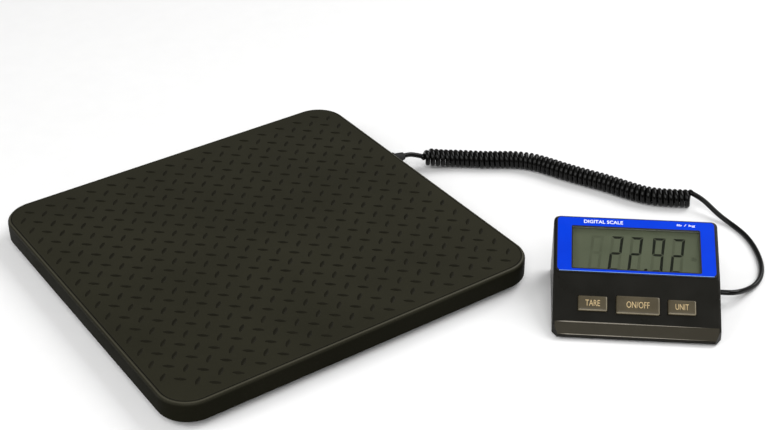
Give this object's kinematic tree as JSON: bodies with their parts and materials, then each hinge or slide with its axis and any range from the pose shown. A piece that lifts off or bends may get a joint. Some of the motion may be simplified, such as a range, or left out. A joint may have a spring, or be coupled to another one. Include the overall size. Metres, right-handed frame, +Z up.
{
  "type": "platform shipping scale",
  "caption": "Low square weighing platform on four load-cell feet, joined by a coiled cord to a separate sloping display with keys.",
  "frame": {"origin": "centre of the weighing surface, on top of the platform cover; the table lies 23 mm below", "axes": "+Z up, +X along the platform's longer side towards the cord, +Y away from the side the display stands by"},
  "size_m": [0.4896, 0.4296, 0.0507],
  "materials": {
    "deck_black": "satin black powder coat on stamped steel",
    "pan_steel": "black painted sheet steel",
    "foot_plastic": "moulded black plastic",
    "rubber": "matt black rubber",
    "cell_steel": "machined spring steel",
    "bracket_plastic": "glass-filled nylon",
    "board_green": "solder-masked circuit board",
    "lead_jacket": "grey flexible jacket",
    "screw_steel": "zinc-plated steel",
    "cord_black": "semi-gloss black flexible jacket",
    "case_black": "fine-textured black moulding",
    "label_blue": "printed blue film with black border",
    "pane_clear": "clear pane",
    "holder_white": "moulded white plastic",
    "lcd_glass": "greenish-grey reflective liquid crystal with dark segments",
    "contact_rubber": "layered conductive elastomer",
    "switch_metal": "small plated switch",
    "key_grey": "grey-brown keys with tan legends",
    "battery_case": "printed metal can",
    "snap_black": "moulded black plastic"
  },
  "bodies": {
    "platform": {"platform_cover": "deck_black", "base_pan": "pan_steel", "load_cell_front_left": "cell_steel", "load_cell_front_right": "cell_steel", "load_cell_rear_left": "cell_steel", "load_cell_rear_right": "cell_steel", "cell_bracket_front_left": "bracket_plastic", "cell_bracket_front_right": "bracket_plastic", "cell_bracket_rear_left": "bracket_plastic", "cell_bracket_rear_right": "bracket_plastic", "pan_screw_front_left": "screw_steel", "pan_screw_front_right": "screw_steel", "pan_screw_rear_left": "screw_steel", "pan_screw_rear_right": "screw_steel", "cell_lead_front_left": "lead_jacket", "cell_lead_front_right": "lead_jacket", "cell_lead_rear_left": "lead_jacket", "cell_lead_rear_right": "lead_jacket", "junction_board": "board_green", "platform_cord_bush": "cord_black", "coiled_cord": "cord_black"},
    "display": {"display_upper_case": "case_black", "display_lower_case": "case_black", "label_overlay": "label_blue", "window_pane": "pane_clear", "lcd_holder": "holder_white", "lcd_cell": "lcd_glass", "contact_strip": "contact_rubber", "main_board": "board_green", "key_board": "board_green", "switch_tare": "switch_metal", "switch_on_off": "switch_metal", "switch_unit": "switch_metal", "battery_9v": "battery_case", "battery_snap": "snap_black", "dc_jack": "snap_black", "display_cord_bush": "cord_black", "case_screw_1": "screw_steel", "case_screw_2": "screw_steel", "case_screw_3": "screw_steel", "case_screw_4": "screw_steel", "rubber_pad_1": "rubber", "rubber_pad_2": "rubber", "rubber_pad_3": "rubber", "rubber_pad_4": "rubber"},
    "battery_door": {"battery_door": "case_black"},
    "key_tare": {"key_tare": "key_grey"},
    "key_on_off": {"key_on_off": "key_grey"},
    "key_unit": {"key_unit": "key_grey"},
    "foot_front_left": {"foot_front_left": "foot_plastic", "foot_pad_front_left": "rubber"},
    "foot_front_right": {"foot_front_right": "foot_plastic", "foot_pad_front_right": "rubber"},
    "foot_rear_left": {"foot_rear_left": "foot_plastic", "foot_pad_rear_left": "rubber"},
    "foot_rear_right": {"foot_rear_right": "foot_plastic", "foot_pad_rear_right": "rubber"}
  },
  "joints": [
    {"name": "display_pull", "type": "slide", "parent": "platform", "child": "display", "axis": [0.6, -0.8, 0], "range_m": [0, 0.45], "deforming": ["coiled_cord"]},
    {"name": "key_tare_press", "type": "slide", "parent": "display", "child": "key_tare", "axis": [0.3359, 0.406, -0.8499], "range_m": [0, 0.001], "stiffness_N_per_m": 300, "springref_m": -0.001},
    {"name": "key_on_off_press", "type": "slide", "parent": "display", "child": "key_on_off", "axis": [0.3359, 0.406, -0.8499], "range_m": [0, 0.001], "stiffness_N_per_m": 300, "springref_m": -0.001},
    {"name": "key_unit_press", "type": "slide", "parent": "display", "child": "key_unit", "axis": [0.3359, 0.406, -0.8499], "range_m": [0, 0.001], "stiffness_N_per_m": 300, "springref_m": -0.001},
    {"name": "battery_door_slide", "type": "slide", "parent": "display", "child": "battery_door", "axis": [0.6374, 0.7705, 0], "range_m": [0, 0.034]},
    {"name": "foot_front_left_deflection", "type": "slide", "parent": "platform", "child": "foot_front_left", "axis": [0, 0, 1], "range_m": [0, 0.0005], "stiffness_N_per_m": 6000, "springref_m": -0.001},
    {"name": "foot_front_right_deflection", "type": "slide", "parent": "platform", "child": "foot_front_right", "axis": [0, 0, 1], "range_m": [0, 0.0005], "stiffness_N_per_m": 6000, "springref_m": -0.001},
    {"name": "foot_rear_left_deflection", "type": "slide", "parent": "platform", "child": "foot_rear_left", "axis": [0, 0, 1], "range_m": [0, 0.0005], "stiffness_N_per_m": 6000, "springref_m": -0.001},
    {"name": "foot_rear_right_deflection", "type": "slide", "parent": "platform", "child": "foot_rear_right", "axis": [0, 0, 1], "range_m": [0, 0.0005], "stiffness_N_per_m": 6000, "springref_m": -0.001}
  ]
}
